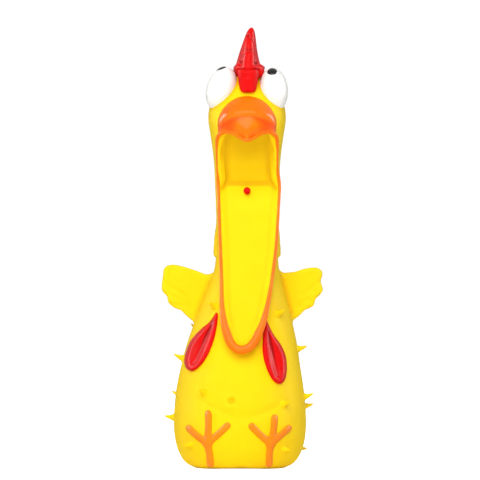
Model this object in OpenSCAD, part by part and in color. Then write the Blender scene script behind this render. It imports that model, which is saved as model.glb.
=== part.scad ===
// Squeaking rubber chicken: a hollow latex skin with moulded, painted details
// and a plastic reed squeaker snapped into its base.
// Millimetres. +Z up, the chicken faces -Y, and the origin is the centre of the flat base.

/* [Skin] */
// Thickness of the latex skin
skin_wall = 2.5; // [2:0.25:3]
// How far a moulded detail sinks into the skin under it
sink = 0.6; // [0.4:0.1:1]
// Clear gap between pieces that flex against each other
gap = 0.4; // [0.3:0.05:0.5]

/* [Stance] */
// How far the neck and head stand to one side of the base's middle
lean_x = 4.8; // [0:0.2:5]

/* [Neck and head flex] */
// Height of the line that the neck sways about
sway_z = 138; // [137:0.5:139]
// Radius of the curved parting under the neck
sway_r = 27; // [26.5:0.25:27.5]
// Height of the line that the head nods about
nod_z = 193; // [192.5:0.25:193.5]
// How far behind the body's middle the nodding line lies
nod_y = 7; // [6.5:0.25:7.5]
// Radius of the curved parting behind the mouth
nod_r = 16.1; // [15.9:0.1:16.3]
// Free angle under the head's cheeks, which lets the mouth close
nod_relief = 28; // [27:1:30]

/* [Belly] */
// Width of the patch of belly that gives under a thumb
belly_w = 36; // [30:1:38]
// Lowest point of the belly patch
belly_z0 = 33; // [32:1:35]
// Highest point of the belly patch
belly_z1 = 66; // [62:1:67]

/* [Details] */
// Height of the relief of the feet above the skin
foot_relief = 1.9; // [1.2:0.1:2.4]
// Width of a toe
toe_w = 4.6; // [3.6:0.2:5]
// Height of the lips above the lower jaw
lip_relief = 2.4; // [1.5:0.1:3]
// Height of the wattles above the skin
wattle_relief = 3.4; // [2.4:0.2:4]
// Length of a body spike outside the skin
spike_l = 6.2; // [4:0.2:7]
// Radius of a body spike at its root
spike_r = 2.1; // [1.5:0.1:2.4]
// Thickness of a wing at its root
wing_root_t = 6.4; // [6:0.2:6.8]
// Thickness of a wing past its root
wing_t = 5; // [4:0.5:5.5]

/* [Squeaker] */
// Radius of the bore in the base that grips the squeaker
bore_r = 12.5; // [12:0.25:13]
// Radius of the squeaker's outer flange
flange_r = 14.6; // [14.25:0.05:14.75]
// Radius of the air hole in the squeaker
air_r = 1.6; // [1.2:0.1:2]
// Thickness of the reed
reed_t = 0.2; // [0.15:0.05:0.25]

/* [Hidden] */
around = 36;      // points round a section of the skin
far = 200;        // a length past everything, for cutters
lean_z0 = 50;     // height where the lean starts
lean_z1 = 150;    // height where it is complete
sway_x = 4.6;     // the line that the neck sways about, off the base's middle
torso_top = 132;  // height where the torso's skin stops inside the neck's parting
torso_cut = 126;  // nothing of the torso stands above this
neck_low = 108;   // lowest height that the neck's skin could reach
head_low = 175;   // lowest height that the head's skin could reach
mouth_w = 19.2;   // half width of the open mouth
YELLOW = [0.98, 0.85, 0.08];
ORANGE = [0.98, 0.45, 0.08];
RED = [0.88, 0.08, 0.10];
WHITE = [0.97, 0.96, 0.92];
BLACK = [0.04, 0.04, 0.04];

// Sections of the whole figure: height, half width, depth in front, depth behind, squareness
figure = [
    [0, 30, 28, 29, 2],          [3, 36, 34.5, 34.5, 2],     [8, 40.2, 39, 38, 2],
    [16, 43.4, 42, 40.5, 2],     [28, 45, 43.6, 42, 2],      [42, 44.5, 43, 41.3, 2],
    [56, 43, 40.5, 39, 2],       [72, 40, 36.6, 35.5, 2],    [86, 37, 33.8, 32, 2.05],
    [100, 33, 31.2, 28.8, 2.1],  [114, 28.4, 28.2, 26, 2.2], [126, 24.3, 24.8, 24.2, 2.3],
    [138, 21.6, 21.6, 23.4, 2.5], [152, 21, 18.6, 22.8, 2.6], [170, 21, 14.8, 22, 2.8],
    [184, 21.4, 11.6, 21.8, 3],  [193, 21.8, 14.5, 22, 3.2], [205, 22.3, 21.5, 23, 3.4],
    [216, 23.4, 28, 24.6, 3.4],  [227, 25, 32, 26.3, 3.2],   [237, 26.4, 33, 27.5, 2.8],
    [245, 25.6, 29, 27.3, 2.5],  [254, 22, 23.5, 25, 2.3],   [262, 16.5, 17.5, 20, 2.2],
    [268, 10.5, 11.5, 13.5, 2.1], [271.5, 4, 4.5, 5.5, 2]];
// Front line of the lower jaw: height and distance in front
jaw_line = [[81, 41.4], [86, 40], [110, 33], [138, 26], [170, 19], [191, 12.6]];
skull_top = figure[len(figure) - 1][0];
skull_low = 235;  // height where the skull rounds inward, under the eyes and comb
// Half width of the jaw's inside, and of its lips, by height
jaw_in = [[83.3, 0.6], [84.4, 2.4], [88.4, 5.8], [92.5, 8.4], [96.6, 10.7], [104.7, 13], [113, 14.2],
          [129, 15.7], [145.5, 17], [162, 18.1], [174, 19.2], [191, 19.4]];
jaw_out = [[77.2, 1.2], [79, 5], [82, 8.6], [86, 11.8], [92, 14], [100, 15.7], [113, 17.2],
           [129, 18.2], [145.5, 19], [162, 20], [174, 21], [191, 22]];

function slot_of(t, x, i = 0) = i >= len(t) - 2 || x < t[i + 1][0] ? i : slot_of(t, x, i + 1);
function slope(t, i, k) = let(a = max(i - 1, 0), b = min(i + 1, len(t) - 1))
    (t[b][k] - t[a][k]) / (t[b][0] - t[a][0]);
// Column k of a table at x, on a smooth curve through its rows
function at(t, x, k) = let(
    i = slot_of(t, x), h = t[i + 1][0] - t[i][0], u = min(max((x - t[i][0]) / h, 0), 1),
    m0 = slope(t, i, k) * h, m1 = slope(t, i + 1, k) * h)
    (2 * u * u * u - 3 * u * u + 1) * t[i][k] + (u * u * u - 2 * u * u + u) * m0
    + (3 * u * u - 2 * u * u * u) * t[i + 1][k] + (u * u * u - u * u) * m1;
function power(v, e) = sign(v) * pow(abs(v), e);
// How far the figure's middle stands aside at a height: nothing low down, all of it by the neck
function lean(z) = let(u = min(max((z - lean_z0) / (lean_z1 - lean_z0), 0), 1)) lean_x * u * u * (3 - 2 * u);
function leaned(p) = [p[0] + lean(p[1]), p[1]];
// A point of the skin, offset outward by o: angle a runs from +X towards +Y
function skin(z, a, o = 0) = let(e = 2 / at(figure, z, 4), depth = sin(a) < 0 ? 2 : 3)
    [lean(z) + (at(figure, z, 1) + o) * power(cos(a), e), (at(figure, z, depth) + o) * power(sin(a), e), z];
function ring(z, o) = [for (j = [0:around - 1]) skin(z, 360 * j / around, o)];
// Heights of the rings between two heights, closer together where the figure turns quickly
function heights(z0, z1) = concat([z0],
    [for (z = [2, 5, 9, 14, 20, 27, 35, 44, 54, 64, 74, 84, 94, 103, 112, 121, 130, 138, 147, 157,
               167, 176, 184, 190, 196, 203, 210, 217, 224, 231, 238, 244, 250, 255, 260, 264, 267.5, 270])
        if (z > z0 + 0.8 && z < z1 - 0.8) z], [z1]);

// A closed solid through rings of points, lowest first
module loft(rings) {
    n = len(rings[0]);
    last = len(rings) - 1;
    sides = [for (i = [0:last - 1], j = [0:n - 1], half = [0, 1])
        let(k = (j + 1) % n, a = i * n + j, b = a + n, c = (i + 1) * n + k, d = i * n + k)
        half == 0 ? [a, b, c] : [a, c, d]];
    caps = [[for (j = [0:n - 1]) j], [for (j = [n - 1:-1:0]) last * n + j]];
    polyhedron([for (r = rings) each r], concat(sides, caps), convexity = 6);
}
// The figure between two heights, as a solid offset by o
module figure_solid(z0, z1, o = 0) {
    loft([for (z = heights(z0, z1)) [for (p = ring(z, o)) [p[0], p[1], z]]]);
}
// A stretch of the skin, open at both ends
module skin_tube(z0, z1) {
    difference() {
        figure_solid(z0, z1);
        figure_solid(z0 - 1, z1 + 1, -skin_wall);
    }
}
// What a moulded detail's underside is cut to: the skin, less the depth that the detail sinks in
module bed(z0, z1) { figure_solid(z0, z1, -sink); }
// A flat outline in X and Z pushed along Y, and one in Y and Z pushed along X
module front_prism(points, y0 = -far, y1 = 0) {
    translate([0, y1, 0]) rotate([90, 0, 0]) linear_extrude(y1 - y0) polygon(points);
}
module side_prism(points, x0, x1) {
    translate([x0, 0, 0]) rotate([90, 0, 90]) linear_extrude(x1 - x0) polygon(points);
}
module rod(a, b, r) {
    d = b - a;
    translate(a) rotate([0, acos(d[2] / norm(d)), atan2(d[1], d[0])])
        cylinder(h = norm(d), r = r, $fn = 48);
}
// What lies under the neck's curved parting, and what lies above it
module sway_barrel(r) { rod([sway_x, -far / 2, sway_z], [sway_x, far / 2, sway_z], r); }
module above(z) { translate([-far, -far, z]) cube([2 * far, 2 * far, far]); }
module below(z) { translate([-far, -far, z - far]) cube([2 * far, 2 * far, far]); }
module neck_only() {
    intersection() {
        children();
        union() {
            above(sway_z - 8);
            sway_barrel(sway_r);
        }
    }
}
module torso_only() {
    difference() {
        children();
        sway_barrel(sway_r + gap);
        above(torso_cut);
    }
}
module nod_barrel(r) { rod([-far / 2, nod_y, nod_z], [far / 2, nod_y, nod_z], r); }
// Cuts away everything under the head: the neck's side of the parting behind the mouth
module head_only() {
    front = [[nod_y, nod_z], [-far, nod_z + (far + nod_y) * tan(nod_relief)], [-far, far * 2],
             [far, far * 2], [far, nod_z]];
    intersection() {
        children();
        union() {
            side_prism(front, -far / 2, far / 2);
            nod_barrel(nod_r);
        }
    }
}

module torso_skin() color(YELLOW) {
    boss_top = skin_wall + 3.2;
    difference() {
        torso_only() union() {
            difference() {
                figure_solid(0, torso_top);
                figure_solid(skin_wall, torso_top + 1, -skin_wall);
            }
            translate([0, 0, skin_wall - 0.5])
                cylinder(h = boss_top - skin_wall + 0.5, r = bore_r + 4, $fn = 64);
        }
        translate([0, 0, -1]) cylinder(h = boss_top + 2, r = bore_r, $fn = 64);
        translate([0, 0, -1]) cylinder(h = 2.2, r = flange_r + gap, $fn = 64);
        belly_window(belly_w, gap);
        for (k = [0, 1]) wing_root(k, wing_root_t / 2 + gap);
    }
}
// The belly patch's outline, grown by g, pushed along Y through the front of the skin
module belly_window(w, g) {
    r = 11;
    translate([0, -12, 0]) rotate([90, 0, 0]) linear_extrude(60) union() {
        for (x = [-w / 2 + r, w / 2 - r], z = [belly_z0 + r, belly_z1 - r])
            translate([x, z]) circle(r + g, $fn = 48);
        translate([-w / 2 + r, belly_z0 - g]) square([w - 2 * r, belly_z1 - belly_z0 + 2 * g]);
        translate([-w / 2 - g, belly_z0 + r]) square([w + 2 * g, belly_z1 - belly_z0 - 2 * r]);
    }
}
module belly_skin() color(YELLOW) {
    intersection() {
        skin_tube(belly_z0 - 12, belly_z1 + 12);
        belly_window(belly_w, 0);
    }
}
module neck_skin() color(YELLOW) {
    difference() {
        neck_only() skin_tube(neck_low, nod_z - gap);
        nod_barrel(nod_r + gap);
    }
}
module hackle_collar() color(YELLOW) {
    o = 2.2;
    z0 = 140.5;
    rings = [for (s = [[z0, 1.2], [z0 + 3, o], [z0 + 10, o], [z0 + 18, 1.6], [z0 + 27, 0.9]])
        ring(s[0], s[1])];
    difference() {
        loft(rings);
        bed(z0 - 2, z0 + 30);
        translate([-far / 2, -far - 4, 0]) cube([far, far, far * 2]);
    }
}
module head_skin() color(YELLOW) {
    difference() {
        head_only() difference() {
            figure_solid(head_low, skull_top);
            figure_solid(head_low - 1, skull_top - skin_wall, -skin_wall);
        }
        mouth_space(mouth_w);
    }
}
// Moves a piece from the middle of its own frame to the leaning head
module on_head() { translate([lean_x, 0, 0]) children(); }
// The open mouth: the space in front of the palate and under the upper beak
palate = [[nod_y - nod_r * cos(nod_relief), nod_z + nod_r * sin(nod_relief)],
          [-19, 213], [-30, 223.5], [-60, 225]];
module mouth_space(w) {
    on_head() side_prism(concat([[-60, nod_z - 24], [palate[0][0], nod_z - 24]], palate), -w, w);
}
module mouth_lining() color(YELLOW) {
    t = 2.4;
    w = mouth_w - 0.2;
    roof = [palate[0], palate[1], palate[2],
            [-29, 226.5], [-17.5, 215.6], [palate[0][0] + 2.6, palate[0][1] + 1]];
    on_head() union() {
        side_prism(roof, -w, w);
        intersection() {
            difference() {
                nod_barrel(nod_r);
                nod_barrel(nod_r - t);
            }
            side_prism([[nod_y, nod_z], palate[0] + 1.2 * (palate[0] - [nod_y, nod_z]),
                        [-30, nod_z - 30], [nod_y, nod_z - 30]], -w, w);
        }
    }
}

// Half of an outline by height, mirrored into a whole one
function both_sides(t) = concat([for (i = [0:len(t) - 1]) [t[i][1], t[i][0]]],
                                [for (i = [len(t) - 1:-1:0]) [-t[i][1], t[i][0]]]);
// The jaw's depth: from d in front of its line to deep inside the neck
jaw_deep = 14;
function jaw_depth(d) = concat([for (p = jaw_line) [-p[1] - d, p[0]]],
    [for (i = [len(jaw_line) - 1:-1:0]) [-jaw_line[i][1] + jaw_deep, jaw_line[i][0]]]);
module jaw_plate() {
    difference() {
        intersection() {
            side_prism(jaw_depth(0), -30, 30);
            front_prism([for (p = both_sides(jaw_in)) leaned(p)]);
        }
        bed(jaw_line[0][0] - 11, nod_z + 7);
    }
}
module one_side(s) {
    intersection() {
        children();
        translate([s > 0 ? sway_x : sway_x - far, -far / 2, 0]) cube([far, far, 2 * far]);
    }
}
module jaw() color(YELLOW) { difference() { neck_only() jaw_plate(); nod_barrel(nod_r + gap); } }
module jaw_chin() color(YELLOW) { torso_only() jaw_plate(); }
module lip(s) color(ORANGE) { difference() { neck_only() one_side(s) lip_core(); nod_barrel(nod_r + gap); } }
module chin_lip() color(ORANGE) { torso_only() lip_core(); }
module lip_core() {
    y0 = -jaw_line[0][1];
    low_end = [[y0 + jaw_deep, 76.6], [y0 - lip_relief, 76.6]];
    difference() {
        intersection() {
            side_prism(concat(jaw_depth(lip_relief), low_end), -30, 30);
            front_prism([for (p = both_sides(jaw_out)) leaned(p)]);
        }
        front_prism([for (p = both_sides(concat(jaw_in, [[200, 19.4]]))) leaned(p)]);
        bed(jaw_line[0][0] - 11, nod_z + 7);
    }
}
module throat_button() color(RED) {
    on_head() translate([0, -13.2, 188.6]) rotate([68, 0, 0]) union() {
        cylinder(h = 1.4, r = 2.3, center = true, $fn = 40);
        intersection() {
            translate([0, 0, -0.9]) sphere(r = 2.8, $fn = 40);
            cylinder(h = 4, r = 2.3, $fn = 40);
        }
    }
}

// Sections of the upper beak: height, half width, depth in front
beak = [[221, 17, 39.5], [227, 20, 41], [233, 20.6, 41], [239, 19.4, 39],
        [244, 16, 35], [249, 10.5, 30], [252.5, 3, 25.5]];
module beak_solid() {
    loft([for (z = [221, 224, 227, 230, 233, 236, 239, 241.5, 244, 246.5, 249, 251, 252.5])
        [for (j = [0:31]) let(a = 180 + 180 * j / 31)
            [at(beak, z, 1) * power(cos(a), 0.8), -12 + (at(beak, z, 2) - 12) * power(sin(a), 0.8), z]]]);
}
module upper_beak() color(ORANGE) {
    lower_edge = [[-30, 226], [-20, 226.4], [-14, 228.8], [-7, 226.4], [-2, 223.4], [0, 222.9],
                  [2, 223.4], [7, 226.4], [14, 228.8], [20, 226.4], [30, 226], [30, 260], [-30, 260]];
    difference() {
        on_head() intersection() {
            beak_solid();
            front_prism(lower_edge);
        }
        bed(beak[0][0] - 6, beak[len(beak) - 1][0] + 10);
        side_prism([[-36.5, 200], [-12, 200], [-12, 226.8], [-36.5, 226.8]], -40, 40);
    }
}
module beak_rim(s) color(ORANGE) {
    band = [[-17, 205], [-27, 215], [-34.5, 226], [-31, 226], [-23.5, 214.6], [-13.5, 203.8]];
    on_head() side_prism(band, s > 0 ? 19.3 : -21.5, s > 0 ? 21.5 : -19.3);
}

// Comb: its side profile and its half width by height
comb_side = [[-26.5, 254.6], [-26, 262], [-22.6, 271], [-21.4, 277.6], [-18.4, 282.4], [-14.8, 282],
             [-12, 276.6], [-10.6, 284], [-6, 292.2], [-2.4, 291], [-0.4, 285], [3, 295], [8.6, 299.9],
             [12, 296.4], [14.2, 285], [15.6, 274], [17.5, 262], [10, 258], [-10, 256], [-20, 253.4]];
comb_half = [[253.2, 4], [256, 5.4], [259, 6.6], [266, 7.2], [268.6, 9.8], [272.5, 10.2], [275, 8.8],
             [281, 6.5], [285, 5.3], [290, 4.3], [295, 3.1], [298.5, 1.8], [300, 0.8]];
comb_slant = 0.09;  // how far each height above the head's top leans sideways
function comb_line(s) = [for (p = comb_half) [s * p[1] + 0.6 + comb_slant * max(p[0] - 272, 0), p[0]]];
module comb() color(RED) {
    right = comb_line(1);
    left = comb_line(-1);
    outline = concat(right, [for (i = [len(left) - 1:-1:0]) left[i]]);
    difference() {
        on_head() intersection() {
            side_prism(comb_side, -14, 16);
            front_prism(outline, -40, 40);
        }
        bed(skull_low, skull_top);
    }
}

// Eyes: an egg shape turned about its long axis, which leans out at the bottom
eye_at = [17.6, -12.5, 257.5];
eye_r = [10.8, 14.4];
eye_lean = 16;
pupil_ways = [[-0.26, -0.30, 0.91], [0.25, -0.45, 0.86]];
module eye_pose(s) {
    on_head() translate([s * eye_at[0], eye_at[1], eye_at[2]]) rotate([0, -s * eye_lean, 0]) children();
}
module eye(s) color(WHITE) {
    difference() {
        eye_pose(s) rotate_extrude($fn = 48)
            polygon([for (a = [-90:10:90]) [max(eye_r[0] * cos(a), 0), eye_r[1] * sin(a)]]);
        bed(skull_low, skull_top);
    }
}
module pupil(s) color(BLACK) {
    way = pupil_ways[s > 0 ? 1 : 0];
    reach = 1 / norm([way[0] / eye_r[0], way[1] / eye_r[0], way[2] / eye_r[1]]);
    out = [way[0] / pow(eye_r[0], 2), way[1] / pow(eye_r[0], 2), way[2] / pow(eye_r[1], 2)];
    eye_pose(s) translate(way * reach) rotate([0, acos(out[2] / norm(out)), atan2(out[1], out[0])])
        translate([0, 0, -0.9]) cylinder(h = 1.2, r = 3.5, $fn = 40);
}

// A thin slab of relief over the skin, between two heights and two angles
module relief(z0, z1, a0, a1, up, rows = 10, cols = 12) {
    function sheet(o) = [for (i = [0:rows]) [for (j = [0:cols])
        skin(z0 + (z1 - z0) * i / rows, a0 + (a1 - a0) * j / cols, o)]];
    n = cols + 1;
    m = (rows + 1) * n;
    low = sheet(-sink);
    high = sheet(up);
    side = concat([for (j = [0:cols]) j], [for (i = [1:rows]) i * n + cols],
                  [for (j = [cols - 1:-1:0]) rows * n + j], [for (i = [rows - 1:-1:1]) i * n]);
    polyhedron([for (r = low) each r, for (r = high) each r], concat(
        [for (i = [0:rows - 1], j = [0:cols - 1], h = [0, 1]) let(a = i * n + j)
            h == 0 ? [a, a + 1, a + n + 1] : [a, a + n + 1, a + n]],
        [for (i = [0:rows - 1], j = [0:cols - 1], h = [0, 1]) let(a = m + i * n + j)
            h == 0 ? [a, a + n + 1, a + 1] : [a, a + n, a + n + 1]],
        [for (k = [0:len(side) - 1], h = [0, 1]) let(p = side[k], q = side[(k + 1) % len(side)])
            h == 0 ? [p, m + p, m + q] : [p, m + q, q]]), convexity = 4);
}
function capsule(a, b, r0, r1) = let(t = atan2(b[1] - a[1], b[0] - a[0])) concat(
    [for (k = [0:8]) a + r0 * [cos(t + 90 + 22.5 * k), sin(t + 90 + 22.5 * k)]],
    [for (k = [0:8]) b + r1 * [cos(t - 90 + 22.5 * k), sin(t - 90 + 22.5 * k)]]);
// Feet: the hub, the three toe tips and the shin's end, in X and Z
foot_points = [
    [[-23.2, 17.2], [-37.2, 28.4], [-22.9, 38.2], [-8.8, 29], [-21.4, 0.8]],
    [[19.6, 17], [6.8, 28.6], [22.3, 35], [32.6, 27.2], [18.6, 0.8]]];
module foot(k) color(ORANGE) {
    p = foot_points[k];
    x0 = min(p[1][0], p[3][0]) - 5;
    x1 = max(p[1][0], p[3][0]) + 5;
    intersection() {
        relief(0, 42, 270 + asin(max(x0, -43) / 43.5), 270 + asin(min(x1, 43) / 43.5), foot_relief);
        front_prism_union([for (t = [p[1], p[2], p[3], p[4]]) capsule(p[0], t, toe_w * 0.56, toe_w / 2)]);
    }
}
module front_prism_union(shapes) {
    rotate([90, 0, 0]) linear_extrude(70) union() { for (s = shapes) polygon(s); }
}

wattle_points = [
    [[-16.5, 106], [-14.8, 104], [-15.8, 96], [-17.5, 88], [-21, 79], [-26, 71], [-33, 66], [-37, 69],
     [-38, 76], [-34, 86], [-27, 94], [-20, 99]],
    [[17, 101], [18.8, 98], [22, 91], [27, 84], [30.6, 76], [31.4, 67], [29.6, 60], [25.5, 57.4],
     [20.5, 61], [16.4, 70], [14.4, 80], [15, 92]]];
module wattle(k) color(RED) {
    intersection() {
        relief(54, 108, k == 0 ? 200 : 285, k == 0 ? 258 : 340, wattle_relief);
        front_prism(wattle_points[k]);
    }
}

// Wings, left then right, in X and Z: the root's two ends, then the outline from its top end round
wing_y = 6;
wing_roots = [[[-24.9, 120], [-32.2, 101.5]], [[32.8, 120], [37, 101.5]]];
wing_outlines = [
    [[-25.6, 126.5], [-25.4, 133.8], [-34.2, 136.5], [-44, 138.3], [-48.6, 137.7], [-51.7, 135.3],
     [-52.4, 130.7], [-53.5, 124], [-52.6, 119.9], [-49, 116.3], [-48.7, 112.3], [-44.7, 108.8],
     [-39.3, 106.8], [-36.2, 103.8]],
    [[33.6, 126.5], [34.2, 133.8], [38.5, 134.6], [44.5, 136.3], [52.3, 136.3], [55.8, 133.8], [56.2, 130.7],
     [54.8, 126.4], [56.6, 120.9], [54.6, 117.4], [51.5, 114.6], [50, 110.3], [47.9, 108.4], [44.1, 107.2],
     [39.8, 103.8]]];
module wing_root(k, r) {
    ends = wing_roots[k];
    rod([ends[0][0], wing_y, ends[0][1]], [ends[1][0], wing_y, ends[1][1]], r);
}
module wing(k) color(YELLOW) {
    outline = concat([wing_roots[k][1], wing_roots[k][0]], wing_outlines[k]);
    union() {
        wing_root(k, wing_root_t / 2);
        front_prism(outline, wing_y - wing_t / 2, wing_y + wing_t / 2);
    }
}

// Spikes: height and angle round the body, 270 being straight ahead
spikes = [[75.5, 184], [51.2, 156], [34.7, 182], [94.5, 150], [53.2, 239], [16.6, 223], [43.5, 309],
          [13.7, 310], [110.2, 229], [105.4, 316], [81.6, 356], [49.1, 354], [42.2, 11], [12.9, 20],
          [66, 136], [88, 122], [40, 126], [22, 150], [96, 56], [66, 40], [34, 50], [20, 96], [50, 84]];
module body_spikes() color(YELLOW) {
    for (s = spikes) {
        root = skin(s[0], s[1], -0.9);
        out = skin(s[0], s[1], 1) - root;
        translate(root) rotate([0, 82, atan2(out[1], out[0])])
            cylinder(h = spike_l + 0.9, r1 = spike_r, r2 = 0.4, $fn = 24);
    }
}
module navel() color(YELLOW) {
    p = skin(47, 261.2, 0);
    translate(p) rotate([90, 0, -8.8]) difference() {
        cylinder(h = 2.2, r = 3.2, center = true, $fn = 40);
        translate([0, 0, 1.6]) sphere(r = 1.9, $fn = 32);
    }
}
module tail() color(YELLOW) {
    plume = [[30, 76], [44, 96], [49, 101], [52, 100], [51.5, 94], [54, 93], [55.4, 89], [52.6, 84.6],
             [54, 81.6], [53.2, 77], [48, 70], [38, 62], [36.6, 62]];
    difference() {
        translate([lean(80), 0, 0]) side_prism(plume, -4.5, 4.5);
        bed(50, 110);
    }
}

// Squeaker: heights above the floor
groove_top = 5.7;
chamber_r = 10.2;
cup_top = 14.2;
module squeaker_cup() color(WHITE) {
    rotate_extrude($fn = 64) polygon([
        [air_r, 0.2], [flange_r, 0.2], [flange_r, 1.2], [bore_r - 0.05, 1.2],
        [bore_r - 0.05, groove_top + 0.02], [bore_r + 0.9, groove_top + 0.02], [bore_r - 0.6, 8.4],
        [chamber_r + 1.4, 8.4], [chamber_r + 1.4, cup_top], [chamber_r, cup_top], [chamber_r, 1.6],
        [air_r, 1.6]]);
}
module squeaker_cap() color(WHITE) {
    difference() {
        union() {
            translate([0, 0, cup_top + 0.02]) cylinder(h = 1.2, r = chamber_r + 1.4, $fn = 64);
            translate([0, 0, cup_top - 1.6]) cylinder(h = 1.8, r = chamber_r - 0.05, $fn = 64);
        }
        for (k = [0:5]) rotate(60 * k) translate([5.6, 0, cup_top - 3]) cylinder(h = 6, r = 1.1, $fn = 24);
    }
}
block_top = 6.2;
module reed_block() color(WHITE) {
    difference() {
        translate([0, 0, 1.62]) cylinder(h = block_top - 1.62, r = 5, $fn = 48);
        translate([0, 0, 1]) cylinder(h = block_top, r = air_r, $fn = 40);
    }
}
reed_z = block_top + 0.05;
reed_y = -3;      // the reed's clamped end, which it flexes about
module squeaker_reed() color("goldenrod") {
    translate([-2.1, reed_y, reed_z]) cube([4.2, 5.6, reed_t]);
}
module reed_clamp() color(WHITE) {
    difference() {
        translate([-3.6, -4.6, block_top + 0.02]) cube([7.2, 2.6, 2]);
        translate([-2.15, -3.05, block_top]) cube([4.3, 3, reed_t + 0.5]);
    }
}

torso_skin();
belly_skin();
neck_skin();
hackle_collar();
head_skin();
mouth_lining();
jaw();
jaw_chin();
lip(-1);  // lip_left
lip(1);  // lip_right
chin_lip();
throat_button();
upper_beak();
beak_rim(-1);  // beak_rim_left
beak_rim(1);  // beak_rim_right
comb();
eye(-1);  // eye_left
eye(1);  // eye_right
pupil(-1);  // pupil_left
pupil(1);  // pupil_right
wattle(0);  // wattle_left
wattle(1);  // wattle_right
wing(0);  // wing_left
wing(1);  // wing_right
foot(0);  // foot_left
foot(1);  // foot_right
body_spikes();
navel();
tail();
squeaker_cup();
squeaker_cap();
reed_block();
squeaker_reed();
reed_clamp();
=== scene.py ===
"""A squeaking rubber chicken: the finished latex skin and its painted details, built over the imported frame.

Shapes are worked out in millimetres as grids of distances, positive outside and negative inside, and turned
into quads. Pieces are made in metres. The chicken faces -Y, and +X is on the right seen from the front.
"""
import math

import bpy
import numpy as np
from numpy.linalg import norm
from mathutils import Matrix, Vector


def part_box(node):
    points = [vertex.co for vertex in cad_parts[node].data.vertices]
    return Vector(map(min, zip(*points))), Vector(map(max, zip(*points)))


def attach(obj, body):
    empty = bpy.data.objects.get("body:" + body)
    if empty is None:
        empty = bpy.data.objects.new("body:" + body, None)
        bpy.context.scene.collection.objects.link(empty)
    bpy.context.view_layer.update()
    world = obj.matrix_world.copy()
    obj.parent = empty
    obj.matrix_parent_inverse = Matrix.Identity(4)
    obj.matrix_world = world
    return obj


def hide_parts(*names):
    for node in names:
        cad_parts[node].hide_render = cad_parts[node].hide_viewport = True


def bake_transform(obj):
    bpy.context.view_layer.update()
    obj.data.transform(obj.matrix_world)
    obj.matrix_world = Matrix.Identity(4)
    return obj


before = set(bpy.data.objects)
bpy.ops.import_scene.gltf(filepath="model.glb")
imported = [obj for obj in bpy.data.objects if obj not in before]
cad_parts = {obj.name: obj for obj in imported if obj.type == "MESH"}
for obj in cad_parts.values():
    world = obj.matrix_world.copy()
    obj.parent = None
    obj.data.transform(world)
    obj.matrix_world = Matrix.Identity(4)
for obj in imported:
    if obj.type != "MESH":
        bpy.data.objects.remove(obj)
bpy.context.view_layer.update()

MM = 0.001
HOLLOW_FULL = 0.3    # how deep, in millimetres, a crease is when it has its full painted shade


# ---- the imported frame, in millimetres
def node_box(*nodes):
    """Lowest and highest corners of some CAD nodes together, in millimetres."""
    boxes = [np.array(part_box(n)) / MM for n in nodes]
    return np.min([b[0] for b in boxes], axis=0), np.max([b[1] for b in boxes], axis=0)


# The head stands a little to the right of the base's middle
HEAD_X = float(np.mean([b[0] for b in node_box("mouth_lining")]))


# ---- curves
def smooth(t):
    """From 0 to 1 without a corner, as t goes from 0 to 1."""
    t = np.clip(t, 0, 1)
    return t * t * (3 - 2 * t)


def through(rows, x):
    """A smooth curve through rows of (x, value, ...), read at x: one array for each value."""
    t = np.array(rows, float)
    slope = np.empty_like(t)
    slope[1:-1] = (t[2:] - t[:-2]) / (t[2:, :1] - t[:-2, :1])
    slope[0] = (t[1] - t[0]) / (t[1, 0] - t[0, 0])
    slope[-1] = (t[-1] - t[-2]) / (t[-1, 0] - t[-2, 0])
    x = np.asarray(x, float)
    i = np.clip(np.searchsorted(t[:, 0], x, side="right") - 1, 0, len(t) - 2)
    h = t[i + 1, 0] - t[i, 0]
    u = np.clip((x - t[i, 0]) / h, 0, 1)
    a, b, c, d = 2 * u**3 - 3 * u**2 + 1, u**3 - 2 * u**2 + u, 3 * u**2 - 2 * u**3, u**3 - u**2
    values = [a * t[i, k] + b * slope[i, k] * h + c * t[i + 1, k] + d * slope[i + 1, k] * h
              for k in range(1, t.shape[1])]
    return values if len(values) > 1 else values[0]


def spline(points, steps, closed=False):
    """Points along a smooth curve through the given points, with their widths if they have any."""
    p = np.array(points, float)
    n = len(p)
    count = n if closed else n - 1
    out = []
    for i in range(count):
        around = [(i + k) % n if closed else min(max(i + k, 0), n - 1) for k in (-1, 0, 1, 2)]
        a, b, c, d = p[around]
        t = np.arange(steps)[:, None] / steps
        curve = 2 * b + (c - a) * t + (2 * a - 5 * b + 4 * c - d) * t**2 + (3 * b - a - 3 * c + d) * t**3
        out.append(curve / 2)
    if not closed:
        out.append(p[-1:])
    return np.concatenate(out)


# ---- grids of distances
class Grid:
    """A box of points at an even spacing, in millimetres."""

    def __init__(self, lo, hi, step):
        self.lo, self.step = np.array(lo, float), step
        counts = [int(math.ceil((b - a) / step)) + 1 for a, b in zip(lo, hi)]
        x, y, z = (a + step * np.arange(n) for a, n in zip(lo, counts))
        self.x, self.y, self.z = x[:, None, None], y[None, :, None], z[None, None, :]

    def front(self):
        """Places across and up, as seen from the front."""
        return self.x[:, 0, :], self.z[0]

    def even(self, g):
        """Turns any smooth field into distances, true near its zero level."""
        g = np.broadcast_to(g, (self.x.size, self.y.size, self.z.size)).astype(np.float32)
        slopes = np.gradient(g, self.step)
        return g / np.maximum(np.sqrt(sum(s * s for s in slopes)), 1e-3)

    def read(self, d, points):
        """A field's values at any points inside the grid."""
        g = (points - self.lo) / self.step
        i = np.clip(np.floor(g).astype(int), 0, np.array(d.shape) - 2)
        f = g - i
        total = 0.0
        for corner in np.ndindex(2, 2, 2):
            share = np.prod(np.where(corner, f, 1 - f), axis=1)
            total = total + share * d[tuple((i + corner).T)]
        return total


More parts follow.
